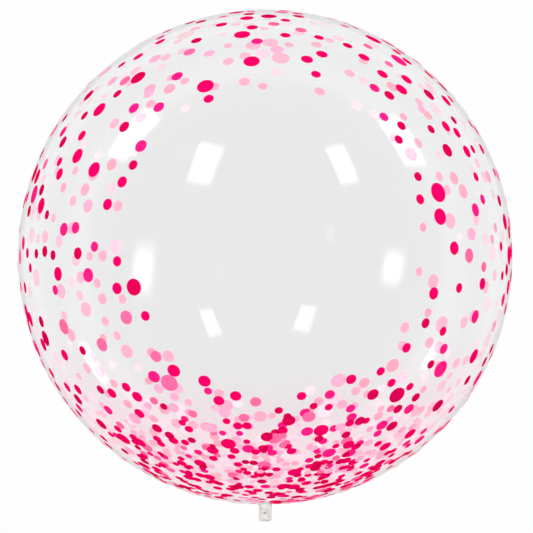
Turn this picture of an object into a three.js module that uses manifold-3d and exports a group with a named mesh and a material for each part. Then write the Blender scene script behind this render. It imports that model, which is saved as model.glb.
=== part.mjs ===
// Clear bubble balloon lying on its back: a 24 inch film ball blown in one piece with its neck tube, and the
// self-sealing valve sleeve that sits inside the neck.
//
// Frame: millimetres. The origin is the middle of the small flat that the ball rests on, +Z is up, and the
// neck points along -Y. Every piece is turned about the neck's axis, so each one is a LatheGeometry profile
// of (radius, height along the neck's axis).

import * as THREE from 'three';
import * as BufferGeometryUtils from 'three/addons/utils/BufferGeometryUtils.js';
import Module from 'manifold-3d';

const manifold = await Module();
manifold.setup();

// Driving dimensions
const BALL_RADIUS = 305;
const REST_FLAT_RADIUS = 36;
const NECK_RADIUS = 8;
const NECK_LENGTH = 22;
const NECK_WALL = 1.2;
const NECK_CORNER_RADIUS = 3.5;
const ROOT_FILLET_RADIUS = 3;
const MOUTH_RADIUS = 3.5;
const BORE_REACH_INTO_BALL = 4.5;
const VALVE_GAP = 0.3;
const VALVE_WALL = 0.5;
const VALVE_WAIST_RADIUS = 1.3;
const VALVE_WAIST_FROM_MOUTH = 10.5;
const VALVE_WEB = 0.8;

// How finely the round forms are stepped
const BALL_SEGMENTS = 60;
const QUARTER_STEPS = 20;
const CORNER_STEPS = 4;
const VALVE_SEGMENTS = 30;
const VALVE_STEPS = 6;

// How high the ball's centre stands over its flat, and the radius of the neck's bore
const ballCentreHeight = Math.sqrt(BALL_RADIUS ** 2 - REST_FLAT_RADIUS ** 2);
const boreRadius = NECK_RADIUS - NECK_WALL;

// Places along the neck's axis, measured from the ball's centre
const neckEnd = -(BALL_RADIUS + NECK_LENGTH);
const lipCentre = neckEnd + NECK_CORNER_RADIUS;
const boreTop = -BALL_RADIUS + BORE_REACH_INTO_BALL;

const clearFilm = new THREE.MeshStandardMaterial({
  color: 0xf1f1f3,
  roughness: 0.06,
  metalness: 0,
  transparent: true,
  opacity: 0.3,
});
const valveFilm = new THREE.MeshStandardMaterial({
  color: 0xe6e2df,
  roughness: 0.25,
  metalness: 0,
  transparent: true,
  opacity: 0.5,
});

// The points of an arc in the profile plane, from one angle to another.
function arc(x, y, radius, from, to, steps) {
  const clockwise = to < from;
  return new THREE.ArcCurve(x, y, radius, from, to, clockwise).getPoints(steps);
}

// A closed solid in manifold form, with the seam and the poles of the lathe welded.
function toSolid(geometry) {
  const bare = geometry.clone();
  bare.deleteAttribute('normal');
  bare.deleteAttribute('uv');
  const welded = BufferGeometryUtils.mergeVertices(bare, 1e-4);
  return new manifold.Manifold(new manifold.Mesh({
    numProp: 3,
    vertProperties: new Float32Array(welded.attributes.position.array),
    triVerts: new Uint32Array(dropFlatTriangles(welded.index.array)),
  }));
}

// A lathe makes triangles with two equal corners where its profile meets the axis, and these are left out.
function dropFlatTriangles(index) {
  const kept = [];
  for (let i = 0; i < index.length; i += 3) {
    const [a, b, c] = [index[i], index[i + 1], index[i + 2]];
    if (a !== b && b !== c && c !== a) kept.push(a, b, c);
  }
  return kept;
}

function toGeometry(solid) {
  const mesh = solid.getMesh();
  const geometry = new THREE.BufferGeometry();
  geometry.setAttribute('position', new THREE.BufferAttribute(mesh.vertProperties, 3));
  geometry.setIndex(new THREE.BufferAttribute(mesh.triVerts, 1));
  geometry.computeVertexNormals();
  return geometry;
}

// The bubble's profile, walked with the solid on its left: across the bore's blind end, down the bore and out
// through the mouth, round the neck's lip, up the neck, through the root fillet and over the ball to its far
// pole.
function bubbleProfile() {
  const corner = NECK_RADIUS - NECK_CORNER_RADIUS;
  const filletX = NECK_RADIUS + ROOT_FILLET_RADIUS;
  const filletY = -Math.sqrt((BALL_RADIUS + ROOT_FILLET_RADIUS) ** 2 - filletX ** 2);
  const towardsBall = Math.atan2(-filletY, -filletX);
  const ballStart = Math.atan2(filletY, filletX);
  return [
    new THREE.Vector2(0, boreTop),
    new THREE.Vector2(boreRadius, boreTop),
    ...arc(corner, lipCentre, NECK_CORNER_RADIUS - NECK_WALL, 0, -Math.PI / 2, CORNER_STEPS),
    new THREE.Vector2(MOUTH_RADIUS, neckEnd + NECK_WALL),
    new THREE.Vector2(MOUTH_RADIUS, neckEnd),
    ...arc(corner, lipCentre, NECK_CORNER_RADIUS, -Math.PI / 2, 0, CORNER_STEPS),
    ...arc(filletX, filletY, ROOT_FILLET_RADIUS, Math.PI, towardsBall, CORNER_STEPS),
    ...arc(0, 0, BALL_RADIUS, ballStart, 0, QUARTER_STEPS).slice(1),
    ...arc(0, 0, BALL_RADIUS, 0, Math.PI / 2, QUARTER_STEPS).slice(1, -1),
    new THREE.Vector2(0, BALL_RADIUS),
  ];
}

// The ball and neck, with the small flat that the ball lies on cut across its back.
function makeBubble() {
  const body = toSolid(new THREE.LatheGeometry(bubbleProfile(), BALL_SEGMENTS));
  const cutter = new THREE.BoxGeometry(4 * REST_FLAT_RADIUS, 4 * REST_FLAT_RADIUS, BALL_RADIUS);
  cutter.translate(0, 0, -ballCentreHeight - BALL_RADIUS / 2);
  const mesh = new THREE.Mesh(toGeometry(body.subtract(toSolid(cutter))), clearFilm);
  mesh.name = 'bubble';
  return mesh;
}

// The valve sleeve's profile: two thin-walled funnels, spout to spout, joined by a web at the waist that is
// the self-sealing pinch. The lower funnel opens towards the neck's mouth, the upper one towards the ball.
function valveProfile() {
  const outer = boreRadius - VALVE_GAP;
  const inner = outer - VALVE_WALL;
  const bottom = lipCentre + VALVE_GAP;
  const top = boreTop - VALVE_GAP;
  const waist = neckEnd + VALVE_WAIST_FROM_MOUTH;
  const points = [new THREE.Vector2(0, waist - VALVE_WEB / 2)];
  points.push(...flare(VALVE_WAIST_RADIUS - VALVE_WALL, waist - VALVE_WEB / 2, inner, bottom));
  points.push(...flare(VALVE_WAIST_RADIUS, waist, outer, bottom).reverse());
  points.push(...flare(VALVE_WAIST_RADIUS, waist, outer, top).slice(1));
  points.push(...flare(VALVE_WAIST_RADIUS - VALVE_WALL, waist + VALVE_WEB / 2, inner, top).reverse());
  points.push(new THREE.Vector2(0, waist + VALVE_WEB / 2));
  return points;
}

// A funnel's side from its waist to its rim, drawn as a smooth swelling curve.
function flare(waistRadius, waistY, rimRadius, rimY) {
  const { lerp } = THREE.MathUtils;
  const side = new THREE.CubicBezierCurve(
    new THREE.Vector2(waistRadius, waistY),
    new THREE.Vector2(lerp(waistRadius, rimRadius, 0.1), lerp(waistY, rimY, 0.3)),
    new THREE.Vector2(rimRadius, lerp(waistY, rimY, 0.4)),
    new THREE.Vector2(rimRadius, rimY),
  );
  return side.getPoints(VALVE_STEPS);
}

function makeValve() {
  const mesh = new THREE.Mesh(new THREE.LatheGeometry(valveProfile(), VALVE_SEGMENTS), valveFilm);
  mesh.name = 'valve';
  return mesh;
}

const balloon = new THREE.Group();
balloon.add(makeBubble(), makeValve());
balloon.position.z = ballCentreHeight;

export default balloon;
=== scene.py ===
"""Looks of the clear bubble balloon: a film ball printed with pink confetti dots, lying on its back.

Metres, in the same frame as the CAD: the origin is the middle of the small flat that the ball lies on, +Z is
up through the front clear window of the print, and the neck points along -Y.
"""

import math
import random

import bmesh
import bpy
from mathutils import Matrix, Vector


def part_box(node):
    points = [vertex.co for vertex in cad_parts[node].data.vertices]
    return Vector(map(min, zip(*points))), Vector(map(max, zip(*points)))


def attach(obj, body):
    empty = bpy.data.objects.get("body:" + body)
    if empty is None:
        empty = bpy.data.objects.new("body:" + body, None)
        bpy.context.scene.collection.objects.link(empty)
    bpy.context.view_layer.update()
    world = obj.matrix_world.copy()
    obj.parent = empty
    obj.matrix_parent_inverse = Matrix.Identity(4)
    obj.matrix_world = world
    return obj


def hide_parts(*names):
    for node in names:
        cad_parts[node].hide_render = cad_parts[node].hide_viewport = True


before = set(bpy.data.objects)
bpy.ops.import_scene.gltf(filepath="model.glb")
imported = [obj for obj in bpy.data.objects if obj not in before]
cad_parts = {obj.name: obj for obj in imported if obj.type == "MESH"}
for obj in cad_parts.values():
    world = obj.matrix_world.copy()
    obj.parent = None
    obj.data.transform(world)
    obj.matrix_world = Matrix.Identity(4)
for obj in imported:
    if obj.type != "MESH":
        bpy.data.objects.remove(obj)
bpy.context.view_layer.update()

# ---------------------------------------------------------------- sizes, worked out from the frame

MM = 0.001
TINY = 1e-9
BUBBLE_LOW, BUBBLE_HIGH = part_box("bubble")
VALVE_LOW, VALVE_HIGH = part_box("valve")

RADIUS = (BUBBLE_HIGH[0] - BUBBLE_LOW[0]) / 2
CENTRE = Vector((0, 0, BUBBLE_HIGH[2] - RADIUS))
NECK_END = BUBBLE_LOW[1]
VALVE_RADIUS = (VALVE_HIGH[2] - VALVE_LOW[2]) / 2
VALVE_BOTTOM, VALVE_TOP = VALVE_LOW[1], VALVE_HIGH[1]
VALVE_WAIST = NECK_END + 10.5 * MM

# Nearness to the neck, in ball radii, is -y plus this share of the way from the top or bottom of the ball out
# to its sides. The film's blush and the print at the back both grow with it.
SIDE_SHARE = 0.45


def smooth_step(x):
    x = min(max(x, 0.0), 1.0)
    return x * x * (3 - 2 * x)


def grey(value):
    return (value, value, value)


# ---------------------------------------------------------------- steps that the node trees share

def feed(tree, socket, value):
    """Links a node's input to another node's output, or gives it a plain value."""
    if isinstance(value, bpy.types.NodeSocket):
        tree.links.new(value, socket)
    else:
        socket.default_value = value


def calculate(tree, operation, *values):
    node = tree.nodes.new("ShaderNodeMath")
    node.operation = operation
    for socket, value in zip(node.inputs, values):
        feed(tree, socket, value)
    return node.outputs[0]


def fade_between(tree, value, start, end):
    """A smooth fade from 0 at start to 1 at end."""
    fade = tree.nodes.new("ShaderNodeMapRange")
    fade.interpolation_type = "SMOOTHSTEP"
    fade.inputs["From Min"].default_value = start
    fade.inputs["From Max"].default_value = end
    tree.links.new(value, fade.inputs["Value"])
    return fade.outputs["Result"]


def mix_colours(tree, factor, first, second, blend="MIX"):
    mix = tree.nodes.new("ShaderNodeMix")
    mix.data_type = "RGBA"
    mix.blend_type = blend
    feed(tree, mix.inputs["Factor"], factor)
    feed(tree, mix.inputs["A"], first)
    feed(tree, mix.inputs["B"], second)
    return mix.outputs["Result"]


def object_place(tree):
    return tree.nodes.new("ShaderNodeTexCoord").outputs["Object"]


def split_axes(tree, place):
    split = tree.nodes.new("ShaderNodeSeparateXYZ")
    tree.links.new(place, split.inputs[0])
    return split.outputs


def colour_by(tree, value, stops):
    """A colour ramp over a 0 to 1 value. Each stop is a position and a colour."""
    node = tree.nodes.new("ShaderNodeValToRGB")
    ramp = node.color_ramp
    for element, (position, colour) in zip(ramp.elements, (stops[0], stops[-1])):
        element.position, element.color = position, (*colour, 1)
    for position, colour in stops[1:-1]:
        ramp.elements.new(position).color = (*colour, 1)
    tree.links.new(value, node.inputs["Fac"])
    return node.outputs["Color"]


# ---------------------------------------------------------------- camera and lights

def make_camera():
    """Straight above the balloon, with a long lens and the neck at the bottom of the view."""
    data = bpy.data.cameras.new("camera")
    camera = bpy.data.objects.new("camera", data)
    bpy.context.collection.objects.link(camera)
    distance = 4.0
    ball_share = 0.4642          # the ball's outline radius as a share of the picture's width
    right_of_ball, below_ball = 1.6 * MM, 11.8 * MM
    outline = math.tan(math.asin(RADIUS / distance))
    data.sensor_width = 36
    data.lens = data.sensor_width * ball_share / outline
    data.clip_start, data.clip_end = 0.05, 60
    camera.location = CENTRE + Vector((right_of_ball, -below_ball, distance))
    bpy.context.scene.camera = camera


# Each soft box by the glint that it makes on the ball. Azimuth is the side that it stands on (0 is +X, 90 is
# +Y), off is how far from straight up its light leaves the ball, and lean is its roll, all in degrees. Reach,
# width and height are in ball radii. Feather is the share of its half width and half height over which it
# fades out. A grid is a honeycomb that keeps the light within so many degrees of the box's own axis.
HONEYCOMB = 20
SOFT_BOXES = {
    "upper_left_band": {
        "azimuth": 137, "off": 90, "reach": 2.0, "width": 1.10, "height": 0.66, "lean": 5,
        "radiance": 4.2, "feather": 0.35, "grid": HONEYCOMB},
    "upper_right_band": {
        "azimuth": 40, "off": 90, "reach": 2.0, "width": 1.06, "height": 0.66, "lean": -15,
        "radiance": 4.2, "feather": 0.35, "grid": HONEYCOMB},
    "near_left_box": {
        "azimuth": 123, "off": 51, "reach": 1.8, "width": 0.90, "height": 0.55, "lean": 41,
        "radiance": 3.4, "feather": 0.4},
    "near_right_box": {
        "azimuth": 50, "off": 56, "reach": 2.4, "width": 1.08, "height": 0.54, "lean": -32,
        "radiance": 3.4, "feather": 0.4},
    "left_strip": {
        "azimuth": 186, "off": 57, "reach": 1.2, "width": 1.00, "height": 0.46, "lean": -14,
        "radiance": 4.6, "feather": 0.8, "grid": HONEYCOMB},
    "right_strip": {
        "azimuth": -5, "off": 60, "reach": 1.2, "width": 0.66, "height": 0.46, "lean": -6,
        "radiance": 4.2, "feather": 0.8, "grid": HONEYCOMB},
    "low_left_band": {
        "azimuth": 212, "off": 106, "reach": 2.0, "width": 0.90, "height": 0.40, "lean": -2,
        "radiance": 3.8, "feather": 0.7, "grid": HONEYCOMB},
    "low_right_band": {
        "azimuth": -31, "off": 99, "reach": 2.0, "width": 0.62, "height": 0.32, "lean": 0,
        "radiance": 2.6, "feather": 0.7, "grid": HONEYCOMB},
    "small_window": {
        "azimuth": 20, "off": 31, "reach": 2.2, "width": 0.50, "height": 0.28, "lean": -22,
        "radiance": 0.7, "feather": 0.7},
}
FILL_WIDTH = 14.0
FILL_HEIGHT = 2.5
FILL_RADIANCE = 0.90


def feather_edges(data, feather):
    """Fades a rectangular lamp out towards its edges."""
    data.use_nodes = True
    tree = data.node_tree
    place = split_axes(tree, tree.nodes.new("ShaderNodeNewGeometry").outputs["Parametric"])
    middle = edge = 0.5
    fades = []
    for axis in "XY":
        off_middle = calculate(tree, "ABSOLUTE", calculate(tree, "SUBTRACT", place[axis], middle))
        fades.append(fade_between(tree, off_middle, edge, edge * (1 - feather)))
    tree.links.new(calculate(tree, "MULTIPLY", *fades), tree.nodes["Emission"].inputs["Strength"])


def make_soft_box(name, azimuth, off, reach, width, height, lean, radiance, feather, grid=None):
    """A lamp that shows only as a glint on the film and as light on the print."""
    side, turn = math.radians(azimuth), math.radians(off)
    out = Vector((math.cos(side), math.sin(side), 0))
    up = Vector((0, 0, 1))
    normal = math.sin(turn / 2) * out + math.cos(turn / 2) * up
    ray = math.sin(turn) * out + math.cos(turn) * up
    along = up.cross(out)
    across = ray.cross(along)
    roll = math.radians(lean)
    x_axis = math.cos(roll) * along + math.sin(roll) * across
    data = bpy.data.lights.new(name, "AREA")
    data.shape = "RECTANGLE"
    data.size, data.size_y = width * RADIUS, height * RADIUS
    data.energy = radiance * data.size * data.size_y * math.pi
    feather_edges(data, feather)
    if grid:
        # A grid gathers the same energy into its cone, so less of it gives the same radiance on the axis
        half = math.radians(grid)
        data.spread = 2 * half
        data.energy *= (math.tan(half) - half) / math.tan(half)
    lamp = bpy.data.objects.new(name, data)
    bpy.context.collection.objects.link(lamp)
    turned_frame = Matrix((x_axis, ray.cross(x_axis), ray)).transposed().to_4x4()
    lamp.matrix_world = Matrix.Translation(CENTRE + RADIUS * (normal + reach * ray)) @ turned_frame
    lamp.visible_camera = False


def make_overhead_fill():
    """A wide overhead sheet of light that lights the print and the floor, and doesn't mirror in the film."""
    data = bpy.data.lights.new("overhead_fill", "AREA")
    data.shape = "DISK"
    data.size = FILL_WIDTH
    data.energy = FILL_RADIANCE * math.pi * math.pi * (data.size / 2) ** 2
    data.cycles.use_multiple_importance_sampling = False
    lamp = bpy.data.objects.new("overhead_fill", data)
    bpy.context.collection.objects.link(lamp)
    lamp.location = CENTRE + Vector((0, 0, FILL_HEIGHT))
    lamp.visible_camera = False
    lamp.visible_glossy = False
    lamp.visible_transmission = False


def make_lights():
    for name, box in SOFT_BOXES.items():
        make_soft_box(name, **box)
    make_overhead_fill()


# ---------------------------------------------------------------- room and floor

# The room's colour by how high one looks: 0 is the horizon and 1 is straight up
ROOM_BY_HEIGHT = [
    (0.0, (0.42, 0.42, 0.425)),
    (0.35, (0.20, 0.20, 0.205)),
    (0.95, (0.10, 0.10, 0.112)),
]

# The floor's glow near the balloon and far from it, and the distances between which it falls off
FLOOR_NEAR, FLOOR_FAR = 0.945, 0.45
FLOOR_EVEN_TO, FLOOR_GREY_FROM = 0.50, 1.25
FLOOR_HALF = 12.0
FLOOR_DROP = 0.5 * MM
FLOOR_COLOUR = grey(0.05)


def make_surroundings():
    """A studio room that is pale at the horizon and dim overhead, where the camera side is."""
    world = bpy.data.worlds.new("studio")
    bpy.context.scene.world = world
    world.use_nodes = True
    tree = world.node_tree
    tree.nodes.clear()
    direction = tree.nodes.new("ShaderNodeTexCoord").outputs["Generated"]
    background = tree.nodes.new("ShaderNodeBackground")
    out = tree.nodes.new("ShaderNodeOutputWorld")
    colour = colour_by(tree, split_axes(tree, direction)["Z"], ROOM_BY_HEIGHT)
    tree.links.new(colour, background.inputs["Color"])
    tree.links.new(background.outputs[0], out.inputs["Surface"])


def make_floor():
    """A white floor, lit evenly round the balloon and falling off to pale grey further out."""
    mesh = bpy.data.meshes.new("floor")
    corners = [(x * FLOOR_HALF, y * FLOOR_HALF, -FLOOR_DROP) for x, y in ((-1, -1), (1, -1), (1, 1), (-1, 1))]
    mesh.from_pydata(corners, [], [(0, 1, 2, 3)])
    floor = bpy.data.objects.new("floor", mesh)
    bpy.context.collection.objects.link(floor)
    material, shader = new_material("white_floor")
    tree = material.node_tree
    shader.inputs["Base Color"].default_value = (*FLOOR_COLOUR, 1)
    shader.inputs["Roughness"].default_value = 1.0
    shader.inputs["Specular IOR Level"].default_value = 0.0
    shader.inputs["Emission Strength"].default_value = 1.0
    reach = tree.nodes.new("ShaderNodeVectorMath")
    reach.operation = "LENGTH"
    tree.links.new(object_place(tree), reach.inputs[0])
    out_of_half = calculate(tree, "DIVIDE", reach.outputs["Value"], FLOOR_HALF)
    glow = colour_by(tree, out_of_half, [
        (FLOOR_EVEN_TO / FLOOR_HALF, grey(FLOOR_NEAR)),
        (FLOOR_GREY_FROM / FLOOR_HALF, grey(FLOOR_FAR))])
    tree.links.new(glow, shader.inputs["Emission Color"])
    mesh.materials.append(material)


# ---------------------------------------------------------------- shared effects, as shader node groups

def new_group(name, inputs, outputs):
    """A shader node group with float or colour sockets. Inputs are given with their defaults."""
    group = bpy.data.node_groups.new(name, "ShaderNodeTree")
    for label, value in inputs.items():
        kind = "NodeSocketFloat" if isinstance(value, float) else "NodeSocketColor"
        socket = group.interface.new_socket(name=label, in_out="INPUT", socket_type=kind)
        socket.default_value = value
    for label, kind in outputs.items():
        group.interface.new_socket(name=label, in_out="OUTPUT", socket_type=kind)
    return group, group.nodes.new("NodeGroupInput"), group.nodes.new("NodeGroupOutput")


def noise(group, scale, detail):
    """A noise over the object's own coordinates, in waves per metre."""
    texture = group.nodes.new("ShaderNodeTexNoise")
    feed(group, texture.inputs["Scale"], scale)
    feed(group, texture.inputs["Detail"], detail)
    group.links.new(object_place(group), texture.inputs["Vector"])
    return texture.outputs["Fac"]


def spread_between(group, factor, low, high):
    """The value between two sockets that a 0 to 1 factor picks."""
    between = group.nodes.new("ShaderNodeMapRange")
    group.links.new(factor, between.inputs["Value"])
    group.links.new(low, between.inputs["To Min"])
    group.links.new(high, between.inputs["To Max"])
    return between.outputs["Result"]


def make_film_unevenness():
    """Blown film: slow waves in its surface, and drifts of slightly duller gloss."""
    group, given, result = new_group(
        "film_unevenness",
        {"Wave Scale": 9.0, "Glossiest": 0.005, "Dullest": 0.03},
        {"Roughness": "NodeSocketFloat", "Height": "NodeSocketFloat"})
    waves = noise(group, scale=given.outputs["Wave Scale"], detail=0.0)
    drifts = noise(group, scale=23.0, detail=3.0)
    gloss = spread_between(group, drifts, given.outputs["Glossiest"], given.outputs["Dullest"])
    group.links.new(waves, result.inputs["Height"])
    group.links.new(gloss, result.inputs["Roughness"])
    return group


def make_ink_mottle():
    """Screen ink: a fine mottle where it lies thicker and thinner, with a slightly uneven gloss."""
    group, given, result = new_group(
        "ink_mottle",
        {"Ink": (1.0, 0.0, 0.16, 1.0), "Thin Ink": (1.0, 0.02, 0.2, 1.0), "Glossiest": 0.12, "Dullest": 0.3},
        {"Color": "NodeSocketColor", "Roughness": "NodeSocketFloat", "Height": "NodeSocketFloat"})
    grain = noise(group, scale=900.0, detail=4.0)
    clouds = noise(group, scale=160.0, detail=2.0)
    thinness = calculate(group, "MULTIPLY", grain, clouds)
    colour = mix_colours(group, thinness, given.outputs["Ink"], given.outputs["Thin Ink"])
    gloss = spread_between(group, clouds, given.outputs["Glossiest"], given.outputs["Dullest"])
    group.links.new(colour, result.inputs["Color"])
    group.links.new(gloss, result.inputs["Roughness"])
    group.links.new(grain, result.inputs["Height"])
    return group


def place_group(material, group, **values):
    """Puts a group in a material with its own values, named with underscores for spaces."""
    node = material.node_tree.nodes.new("ShaderNodeGroup")
    node.node_tree = group
    for name, value in values.items():
        node.inputs[name.replace("_", " ")].default_value = value
    return node


def add_bump(material, height, distance):
    """Bumps the shader's normal by a 0 to 1 height that stands for so many metres."""
    nodes, links = material.node_tree.nodes, material.node_tree.links
    bump = nodes.new("ShaderNodeBump")
    bump.inputs["Strength"].default_value = 1.0
    bump.inputs["Distance"].default_value = distance
    links.new(height, bump.inputs["Height"])
    links.new(bump.outputs["Normal"], nodes["Principled BSDF"].inputs["Normal"])


FILM_UNEVENNESS = make_film_unevenness()
INK_MOTTLE = make_ink_mottle()


# ---------------------------------------------------------------- materials

CLEAR_TINT = (0.965, 0.965, 0.968)
NECK_TINT = (0.908, 0.90, 0.893)
BLUSH_TINT = (1.0, 0.885, 0.92)
SHADOW_TINT = grey(0.93)
FILM_IOR = 1.47

# The nearness to the neck at which the film's blush starts, and at which it is full
BLUSH_FROM, BLUSH_FULL = 0.45, 1.05

# How much of its colour the film keeps as it turns away, a painted shade that greys it towards the rim: 0 is
# face on and 1 is edge on
EDGE_SHADES = [(0.66, 1.0), (0.71, 0.945), (0.78, 0.945), (0.83, 0.76), (1.0, 0.25)]

# The valve's sleeve round its pinch: tan up to the first distance from it, and gone by the second
PINCH_TAN = (0.46, 0.33, 0.28)
SLEEVE_MILKY = (0.95, 0.93, 0.91)
PINCH_TAN_TO, PINCH_TAN_GONE = 0.4 * MM, 1.9 * MM
# The sleeve's glow is painted light, for the room's light that comes through the neck
SLEEVE_GLOW = 0.25

# Thin ink is this much lighter than thick ink
THIN_INK = 1.5
MOTTLE_HEIGHT = 0.004 * MM


def new_material(name):
    material = bpy.data.materials.new(name)
    material.use_nodes = True
    return material, material.node_tree.nodes["Principled BSDF"]


def clear_for(material, ray_kind, tint):
    """Makes a material clear to the rays that one output of Light Path picks out."""
    nodes, links = material.node_tree.nodes, material.node_tree.links
    path = nodes.new("ShaderNodeLightPath")
    clear = nodes.new("ShaderNodeBsdfTransparent")
    clear.inputs["Color"].default_value = (*tint, 1)
    mix = nodes.new("ShaderNodeMixShader")
    links.new(path.outputs[ray_kind], mix.inputs["Fac"])
    links.new(nodes["Principled BSDF"].outputs[0], mix.inputs[1])
    links.new(clear.outputs[0], mix.inputs[2])
    links.new(mix.outputs[0], nodes["Material Output"].inputs["Surface"])


def add_unevenness(material, waves, gloss, wave_height):
    """Gives a film its waves, in waves per metre, and its range of gloss."""
    uneven = place_group(
        material, FILM_UNEVENNESS, Wave_Scale=waves, Glossiest=gloss[0], Dullest=gloss[1])
    nodes, links = material.node_tree.nodes, material.node_tree.links
    links.new(uneven.outputs["Roughness"], nodes["Principled BSDF"].inputs["Roughness"])
    add_bump(material, uneven.outputs["Height"], wave_height)


def blushed(tree, tint, blush):
    """A tint that turns to a pink blush towards the neck and low on the sides, where the print is densest."""
    from_centre = tree.nodes.new("ShaderNodeVectorMath")
    from_centre.operation = "SUBTRACT"
    from_centre.inputs[1].default_value = CENTRE
    tree.links.new(object_place(tree), from_centre.inputs[0])
    place = split_axes(tree, from_centre.outputs[0])
    off_side = calculate(tree, "ABSOLUTE", place["Z"])
    away = calculate(tree, "MULTIPLY_ADD", off_side, SIDE_SHARE, place["Y"])
    towards_neck = fade_between(
        tree, away, (SIDE_SHARE - BLUSH_FROM) * RADIUS, (SIDE_SHARE - BLUSH_FULL) * RADIUS)
    return mix_colours(tree, towards_neck, (*tint, 1), (*blush, 1))


def film_material(name, tint, waves, gloss, wave_height, blush=None):
    """Clear glossy film, a little uneven in thickness and gloss. Where it is seen edge on, painted shade
    greys it.
    """
    material, shader = new_material(name)
    tree = material.node_tree
    shader.inputs["IOR"].default_value = FILM_IOR
    shader.inputs["Transmission Weight"].default_value = 1.0
    # Painted shade: the film's base colour darkens as it turns edge on, greying the rim
    edge_on = tree.nodes.new("ShaderNodeLayerWeight")
    edge_on.inputs["Blend"].default_value = 0.5
    shades = [(facing, grey(shade)) for facing, shade in EDGE_SHADES]
    painted_rim_shade = colour_by(tree, edge_on.outputs["Facing"], shades)
    colour = blushed(tree, tint, blush) if blush else (*tint, 1)
    tree.links.new(mix_colours(tree, 1.0, colour, painted_rim_shade, "MULTIPLY"), shader.inputs["Base Color"])
    add_unevenness(material, waves, gloss, wave_height)
    # Lamps shine through the film, instead of the film casting a solid shadow
    clear_for(material, "Is Shadow Ray", SHADOW_TINT)
    return material


def ink_material(name, colour, gloss, glow):
    """Printed ink. Its glow is painted light, for the room's light that comes through it."""
    material, shader = new_material(name)
    links = material.node_tree.links
    thin = [min(1.0, THIN_INK * c) for c in colour]
    mottle = place_group(
        material, INK_MOTTLE, Ink=(*colour, 1), Thin_Ink=(*thin, 1), Glossiest=gloss[0], Dullest=gloss[1])
    links.new(mottle.outputs["Color"], shader.inputs["Base Color"])
    links.new(mottle.outputs["Roughness"], shader.inputs["Roughness"])
    add_bump(material, mottle.outputs["Height"], MOTTLE_HEIGHT)
    shader.inputs["Specular IOR Level"].default_value = 0.0
    # The emission is painted light, for the room's light that comes through the ink
    links.new(mottle.outputs["Color"], shader.inputs["Emission Color"])
    shader.inputs["Emission Strength"].default_value = glow
    # The print stays out of the film's inner mirror images, where it would show as pink specks
    clear_for(material, "Glossy Depth", grey(1.0))
    return material


def valve_material():
    """Milky sleeve film, tan round its pinch. Its faint glow is painted light, for light that comes through
    it.
    """
    material, shader = new_material("valve_film")
    tree = material.node_tree
    along_neck = split_axes(tree, object_place(tree))["Y"]
    from_pinch = calculate(tree, "ABSOLUTE", calculate(tree, "SUBTRACT", along_neck, VALVE_WAIST))
    off_pinch_tan = fade_between(tree, from_pinch, PINCH_TAN_TO, PINCH_TAN_GONE)
    colour = mix_colours(tree, off_pinch_tan, (*PINCH_TAN, 1), (*SLEEVE_MILKY, 1))
    tree.links.new(colour, shader.inputs["Base Color"])
    add_unevenness(material, waves=260.0, gloss=(0.2, 0.45), wave_height=0.05 * MM)
    # Painted light: the sleeve glows in its own colour
    tree.links.new(colour, shader.inputs["Emission Color"])
    shader.inputs["Emission Strength"].default_value = SLEEVE_GLOW
    return material


# ---------------------------------------------------------------- making a piece from its mesh

def new_piece(name, bm, materials):
    """A smooth-shaded object from a mesh in the making."""
    mesh = bpy.data.meshes.new(name)
    bm.to_mesh(mesh)
    bm.free()
    mesh.polygons.foreach_set("use_smooth", [True] * len(mesh.polygons))
    for material in materials:
        mesh.materials.append(material)
    piece = bpy.data.objects.new(name, mesh)
    bpy.context.collection.objects.link(piece)
    return piece


# ---------------------------------------------------------------- the film bubble

FILM = 0.2 * MM
NECK_RADIUS = 8 * MM
NECK_WALL = 0.8 * MM
LIP_RADIUS = 3.5 * MM
ROOT_FILLET = 3 * MM
MOUTH_RADIUS = 3.5 * MM

# How finely the film is meshed: round the neck's axis, along a quarter of the ball, and at the neck
FILM_ROUND = 240
FILM_QUARTER = 60
LIP_STEPS = 10
CORNER_STEPS = 8
TUBE_STEPS = 6


def arc(x, y, radius, start, end, steps):
    """Points of an arc in the (radius, height) plane of a turned profile."""
    angles = [start + (end - start) * i / steps for i in range(steps + 1)]
    return [(x + radius * math.cos(a), y + radius * math.sin(a)) for a in angles]


def skin(radius, tube, fillet):
    """One side of the film, from the ball's far pole to the end of the neck's tube, filleted at the root."""
    x = tube + fillet
    y = -math.sqrt((radius + fillet) ** 2 - x ** 2)
    start = math.atan2(y, x)
    points = arc(0, 0, radius, math.pi / 2, 0, FILM_QUARTER)
    points += arc(0, 0, radius, 0, start, FILM_QUARTER)[1:]
    points += arc(x, y, fillet, math.atan2(-y, -x), math.pi, CORNER_STEPS)[1:]
    tube_end = NECK_END + LIP_RADIUS
    points += [(tube, y + (tube_end - y) * i / TUBE_STEPS) for i in range(1, TUBE_STEPS)]
    return points


def bubble_profile():
    """The film bag's closed section: from the far pole down to the neck's lip, and back up inside."""
    corner = NECK_RADIUS - LIP_RADIUS
    lip = NECK_END + LIP_RADIUS
    mouth = NECK_WALL / 2
    points = skin(RADIUS, NECK_RADIUS, ROOT_FILLET)
    points += arc(corner, lip, LIP_RADIUS, 0, -math.pi / 2, LIP_STEPS)
    points += arc(
        MOUTH_RADIUS + mouth, NECK_END + mouth, mouth, -math.pi / 2, -3 * math.pi / 2, CORNER_STEPS)
    points += arc(corner, lip, LIP_RADIUS - NECK_WALL, -math.pi / 2, 0, CORNER_STEPS)
    points += skin(RADIUS - FILM, NECK_RADIUS - NECK_WALL, ROOT_FILLET + NECK_WALL - FILM)[::-1]
    return points


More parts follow.
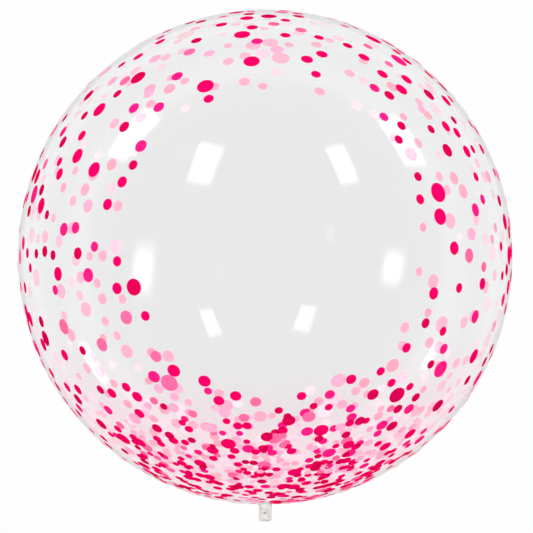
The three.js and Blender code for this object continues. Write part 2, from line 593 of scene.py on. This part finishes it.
def turned(name, profile, materials):
    """A closed solid of revolution about the neck's axis. A point with no radius becomes a pole."""
    bm = bmesh.new()
    rings = []
    for r, y in profile:
        if r < TINY:
            rings.append([bm.verts.new((CENTRE.x, CENTRE.y + y, CENTRE.z))])
            continue
        ring = []
        for i in range(FILM_ROUND):
            turn = 2 * math.pi * i / FILM_ROUND
            x, z = r * math.sin(turn), r * math.cos(turn)
            ring.append(bm.verts.new((CENTRE.x + x, CENTRE.y + y, CENTRE.z + z)))
        rings.append(ring)
    for a, b in zip(rings, rings[1:]):
        for i in range(FILM_ROUND):
            j = (i + 1) % FILM_ROUND
            corners = [a[i % len(a)], a[j % len(a)], b[j % len(b)], b[i % len(b)]]
            bm.faces.new(dict.fromkeys(corners))
    bmesh.ops.recalc_face_normals(bm, faces=bm.faces)
    return new_piece(name, bm, materials)


def flatten_underside(bubble):
    """Presses the film flat where it lies, keeping the inner skin a film's thickness above the outer."""
    for v in bubble.data.vertices:
        inner = (v.co - CENTRE).length < RADIUS - FILM / 2
        rest = FILM if inner else 0.0
        v.co.z = max(v.co.z, rest)


def make_bubble():
    clear = film_material(
        "clear_film", CLEAR_TINT, waves=9.0, gloss=(0.002, 0.014), wave_height=0.05 * MM, blush=BLUSH_TINT)
    neck = film_material(
        "neck_film", NECK_TINT, waves=60.0, gloss=(0.15, 0.20), wave_height=0.02 * MM)
    bubble = turned("film_bubble", bubble_profile(), (clear, neck))
    for face in bubble.data.polygons:
        if face.center.y < -RADIUS:
            face.material_index = 1
    flatten_underside(bubble)
    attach(bubble, "root")
    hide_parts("bubble")


# ---------------------------------------------------------------- the valve sleeve

SLEEVE_FILM = 0.2 * MM
SLEEVE_STEPS = 40

# Half widths of the sleeve towards the ball, towards the mouth and at its pinch, and the lengths over which
# it opens out each way
WIDE, NARROW, PINCHED = VALVE_RADIUS - 0.2 * MM, 4.6 * MM, 1.3 * MM
OPENS_TO_BALL, OPENS_TO_MOUTH = 6.5 * MM, 3.0 * MM

# Its depth as a share of its width at the pinch, what is added to that further off, and over what length
PINCH_DEPTH, ADDED_DEPTH, ROUNDS_OUT = 0.45, 0.4, 6 * MM
SEAL = 0.5 * MM


def sleeve_half_width(y):
    """The sleeve's half width: wide in the ball, pinched at the waist, and narrower to the mouth."""
    if y > VALVE_WAIST:
        return PINCHED + (WIDE - PINCHED) * smooth_step((y - VALVE_WAIST) / OPENS_TO_BALL)
    return PINCHED + (NARROW - PINCHED) * smooth_step((VALVE_WAIST - y) / OPENS_TO_MOUTH)


def sleeve_ring(bm, y, inset):
    """A ring of the sleeve's wall. It is flattened front to back where it is pinched."""
    half_width = sleeve_half_width(y) - inset
    flatness = PINCH_DEPTH + ADDED_DEPTH * smooth_step(abs(y - VALVE_WAIST) / ROUNDS_OUT)
    half_depth = sleeve_half_width(y) * flatness - inset
    ring = []
    for i in range(SLEEVE_STEPS):
        turn = 2 * math.pi * i / SLEEVE_STEPS
        x, z = half_width * math.cos(turn), half_depth * math.sin(turn)
        ring.append(bm.verts.new((x, y, CENTRE.z + z)))
    return ring


def loft(bm, rings):
    for a, b in zip(rings, rings[1:]):
        for i in range(len(a)):
            j = (i + 1) % len(a)
            bm.faces.new((a[i], a[j], b[j], b[i]))


def make_valve_sleeve():
    """One film tube, open at both ends, and sealed across at its pinch."""
    bm = bmesh.new()
    length = VALVE_TOP - VALVE_BOTTOM
    heights = [VALVE_BOTTOM + length * i / SLEEVE_STEPS for i in range(SLEEVE_STEPS + 1)]
    below = [y for y in heights if y < VALVE_WAIST - SEAL] + [VALVE_WAIST - SEAL]
    above = [VALVE_WAIST + SEAL] + [y for y in heights if y > VALVE_WAIST + SEAL]
    outside = [sleeve_ring(bm, y, 0.0) for y in heights]
    into_ball = [sleeve_ring(bm, y, SLEEVE_FILM) for y in reversed(above)]
    to_mouth = [sleeve_ring(bm, y, SLEEVE_FILM) for y in reversed(below)]
    loft(bm, outside + into_ball)
    bm.faces.new(into_ball[-1])
    loft(bm, to_mouth + [outside[0]])
    bm.faces.new(to_mouth[0])
    bmesh.ops.recalc_face_normals(bm, faces=bm.faces)
    sleeve = new_piece("valve_sleeve", bm, (valve_material(),))
    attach(sleeve, "root")
    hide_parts("valve")


# ---------------------------------------------------------------- the print: its inks, sizes and spacing

# Each ink: the record's slot, its share of the dots, its printed face, and its paler underside
INKS = {
    "crimson": {
        "slot": "crimson_ink", "share": 0.21, "face": (0.63, 0.0005, 0.075), "under": (1.0, 0.31, 0.42)},
    "hot_pink": {
        "slot": "hot_pink_ink", "share": 0.42, "face": (0.87, 0.0005, 0.11), "under": (1.0, 0.36, 0.49)},
    "mid_pink": {
        "slot": "mid_pink_ink", "share": 0.14, "face": (1.0, 0.011, 0.20), "under": (1.0, 0.44, 0.56)},
    "rose_pink": {
        "slot": "pale_pink_ink", "share": 0.12, "face": (1.0, 0.13, 0.32), "under": (1.0, 0.56, 0.66)},
    "pale_pink": {
        "slot": "pale_pink_ink", "share": 0.11, "face": (1.0, 0.38, 0.55), "under": (1.0, 0.70, 0.78)},
}
STRONG_INKS = ("crimson", "hot_pink", "mid_pink")
OVERPRINT = (0.57, 0.0005, 0.06)
# The glow of each ink's face and underside is painted light, for the room's light that comes through the ink
FACE_GLOSS, FACE_GLOW = (0.12, 0.25), 0.2
UNDERSIDE_GLOSS, UNDERSIDE_GLOW = (0.4, 0.55), 0.55
PALE_AT_BACK = 5.0

# Dot radius and its share of the dots. Sizes vary a little, and the dots by the neck are smaller.
DOT_SIZES = [(6.0 * MM, 0.28), (7.1 * MM, 0.34), (8.2 * MM, 0.21), (9.8 * MM, 0.12), (11.4 * MM, 0.05)]
SIZE_SPREAD = (0.95, 1.05)
NECK_SHRINK = 0.74
DOT_SEED = 11

# Spacing of the dots in the open and by the neck, and how much closer they come at the sides and at the back
OPEN_SPACING = 31 * MM
NECK_SPACING = 11.4 * MM
SIDE_CROWDING = 0.25
BACK_CROWDING = 0.20

# The front crowds towards a place over the neck, by the cosine of the angle from it. The back crowds by its
# nearness to the neck.
CROWDED_TOWARDS = Vector((0, -0.93, 0.37)).normalized()
CROWDS_FROM, CROWDED_AT = 0.60, 0.97
BACK_CROWDS_FROM, BACK_CROWDED_AT = 0.50, 1.15

# The least share of the spacing that two dots keep in the open, and how much of it they lose by the neck
OPEN_ROOM, ROOM_LOST = 0.66, 0.26

WINDOW_MIDDLE = Vector((0.03, 0.105, 1.0)).normalized()
WINDOW_EDGE = (0.96, 1.06)
FRONT_WINDOW = math.radians(35.5)
BACK_WINDOW = math.radians(41)
BARE_ROUND_NECK = math.radians(7.5)

# Each patch of ink lies a little higher than the one before, in a cycle, so that few overlapping patches
# share a height
INK_FILM = 0.05 * MM
FIRST_LIFT_MM, LIFT_STEP_MM, LIFTS = 0.04, 0.003, 97
OVERPRINT_LIFT = 1.2 * INK_FILM


def crowding(n):
    """0 over the top and sides of the ball, up to 1 by the neck. At the back it reaches up the sides."""
    if n.z > 0:
        nearness = n.dot(CROWDED_TOWARDS)
        return smooth_step((nearness - CROWDS_FROM) / (CROWDED_AT - CROWDS_FROM))
    nearness = -n.y + SIDE_SHARE * (1 + n.z)
    return smooth_step((nearness - BACK_CROWDS_FROM) / (BACK_CROWDED_AT - BACK_CROWDS_FROM))


def ink_shares(n):
    """How likely each ink is at a place. At the back, by the neck, most dots are in the palest ink."""
    paler = 1 + (PALE_AT_BACK * crowding(n) if n.z < 0 else 0)
    return [(name, ink["share"] * (paler if name == "pale_pink" else 1)) for name, ink in INKS.items()]


def dot_spacing(n):
    """The typical distance between dots at a place. By the neck the back is printed closer still."""
    open_spacing = OPEN_SPACING * (1 - SIDE_CROWDING * (1 - abs(n.z)) ** 2)
    spacing = open_spacing + crowding(n) * (NECK_SPACING - open_spacing)
    return spacing * (1 - BACK_CROWDING * crowding(n)) if n.z < 0 else spacing


def elbow_room(n):
    """The least distance between two dots' middles: apart where they are few, overlapping by the neck."""
    return dot_spacing(n) * (OPEN_ROOM - ROOM_LOST * crowding(n))


def in_clear_window(n, rng):
    """The front and the back each have a round window without dots, with a loose edge."""
    facing = Vector((n.x, n.y, abs(n.z)))
    window = FRONT_WINDOW if n.z > 0 else BACK_WINDOW
    return facing.angle(WINDOW_MIDDLE) < window * rng.uniform(*WINDOW_EDGE)


def pick(weighted, rng):
    draw = rng.uniform(0, sum(share for _, share in weighted))
    for value, share in weighted:
        draw -= share
        if draw <= 0:
            break
    return value


def any_direction(rng):
    z, turn = rng.uniform(-1, 1), rng.uniform(0, 2 * math.pi)
    flat = math.sqrt(1 - z * z)
    return Vector((flat * math.cos(turn), flat * math.sin(turn), z))


def scatter_dots():
    """Throws as many dots as the densest spacing would take, and thins them by the spacing at each place."""
    rng = random.Random(DOT_SEED)
    densest = NECK_SPACING * (1 - BACK_CROWDING)
    throws = int(4 * math.pi * RADIUS ** 2 / densest ** 2)
    neck = Vector((0, -1, 0))
    dots = []
    for _ in range(throws):
        n = any_direction(rng)
        keep = rng.random()
        size = pick(DOT_SIZES, rng) * rng.uniform(*SIZE_SPREAD) * (1 + crowding(n) * (NECK_SHRINK - 1))
        ink = pick(ink_shares(n), rng)
        windowed = in_clear_window(n, rng)
        if windowed or n.angle(neck) < BARE_ROUND_NECK or keep > (densest / dot_spacing(n)) ** 2:
            continue
        closest = elbow_room(n)
        if all((n - other["n"]).length * RADIUS > closest for other in dots):
            lift = (FIRST_LIFT_MM + LIFT_STEP_MM * (len(dots) % LIFTS)) * MM
            dots.append({"n": n, "size": size, "ink": ink, "lift": lift})
    return dots


# ---------------------------------------------------------------- the printed confetti dots

# Dots up to the small radius are drawn with fewer steps round
SMALL_DOT = 7 * MM
SMALL_DOT_STEPS, LARGE_DOT_STEPS, LENS_STEPS = 24, 36, 10
INNER_RING = 0.6

# Two dots overprint unless they barely touch or one lies almost inside the other
BARELY_TOUCH, ALMOST_INSIDE = 0.97, 1.03


def on_ball(n, along, x, y, height):
    """The point x along and y across from the place n, measured over the ball's surface."""
    across = n.cross(along)
    reach = math.hypot(x, y)
    if reach < TINY:
        return CENTRE + (RADIUS + height) * n
    side = (x * along + y * across) / reach
    angle = reach / RADIUS
    return CENTRE + (RADIUS + height) * (math.cos(angle) * n + math.sin(angle) * side)


def add_ink_patch(bm, n, along, outline, lift):
    """A thin closed patch of ink: a printed face outside (slot 0) and an underside by the film (slot 1)."""
    middle = [sum(p[i] for p in outline) / len(outline) for i in (0, 1)]
    rim = [bm.verts.new(on_ball(n, along, x, y, lift + INK_FILM / 2)) for x, y in outline]
    for height, slot, order in ((lift + INK_FILM, 0, 1), (lift, 1, -1)):
        hub = bm.verts.new(on_ball(n, along, *middle, height))
        inner = []
        for point in outline:
            x, y = [m + INNER_RING * (p - m) for m, p in zip(middle, point)]
            inner.append(bm.verts.new(on_ball(n, along, x, y, height)))
        for i in range(len(outline)):
            j = (i + 1) % len(outline)
            for corners in ((hub, inner[i], inner[j]), (inner[i], rim[i], rim[j], inner[j])):
                bm.faces.new(corners[::order]).material_index = slot
    for one, two in zip(rim, rim[1:] + rim[:1]):
        bm.edges.get((one, two)).smooth = False


def round_points(radius, steps, x=0.0, start=0.0, end=2 * math.pi):
    """Points round a circle, or round a part of it, without its last point."""
    angles = [start + (end - start) * i / steps for i in range(steps)]
    return [(x + radius * math.cos(a), radius * math.sin(a)) for a in angles]


def add_dot(bm, dot):
    steps = SMALL_DOT_STEPS if dot["size"] < SMALL_DOT else LARGE_DOT_STEPS
    n = dot["n"]
    outline = round_points(dot["size"], steps)
    add_ink_patch(bm, n, n.orthogonal().normalized(), outline, dot["lift"])


def add_overprint(bm, one, two):
    """The darker lens where two dots of strong ink are printed over each other."""
    n = one["n"]
    gap = (two["n"] - n).length * RADIUS
    a, b = one["size"], two["size"]
    if gap > BARELY_TOUCH * (a + b) or gap < abs(a - b) * ALMOST_INSIDE:
        return
    along = (two["n"] - n.dot(two["n"]) * n).normalized()
    x = (gap ** 2 + a ** 2 - b ** 2) / (2 * gap)
    alpha, beta = math.acos(x / a), math.acos((gap - x) / b)
    outline = round_points(a, LENS_STEPS, 0, -alpha, alpha)
    outline += round_points(b, LENS_STEPS, gap, math.pi - beta, math.pi + beta)
    add_ink_patch(bm, n, along, outline, max(one["lift"], two["lift"]) + OVERPRINT_LIFT)


def print_piece(name, bm, ink_name, face, underside):
    """A piece of print with its own pair of inks. It is kept out of mirror images and casts no shadow."""
    inks = (
        ink_material(ink_name + "_face", face, FACE_GLOSS, FACE_GLOW),
        ink_material(ink_name + "_underside", underside, UNDERSIDE_GLOSS, UNDERSIDE_GLOW))
    piece = new_piece(name, bm, inks)
    piece.visible_glossy = False
    piece.visible_shadow = False
    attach(piece, "root")


def make_dots():
    dots = scatter_dots()
    for name, ink in INKS.items():
        bm = bmesh.new()
        for dot in dots:
            if dot["ink"] == name:
                add_dot(bm, dot)
        print_piece(name + "_dots", bm, name, ink["face"], ink["under"])
    bm = bmesh.new()
    strong = [dot for dot in dots if dot["ink"] in STRONG_INKS]
    for i, one in enumerate(strong):
        for two in strong[i + 1:]:
            add_overprint(bm, one, two)
    print_piece("overprint_lenses", bm, "overprint", OVERPRINT, INKS["crimson"]["under"])


# ---------------------------------------------------------------- the whole scene

make_camera()
make_lights()
make_surroundings()
make_floor()
bpy.context.scene.view_settings.view_transform = "Standard"
make_bubble()
make_valve_sleeve()
make_dots()
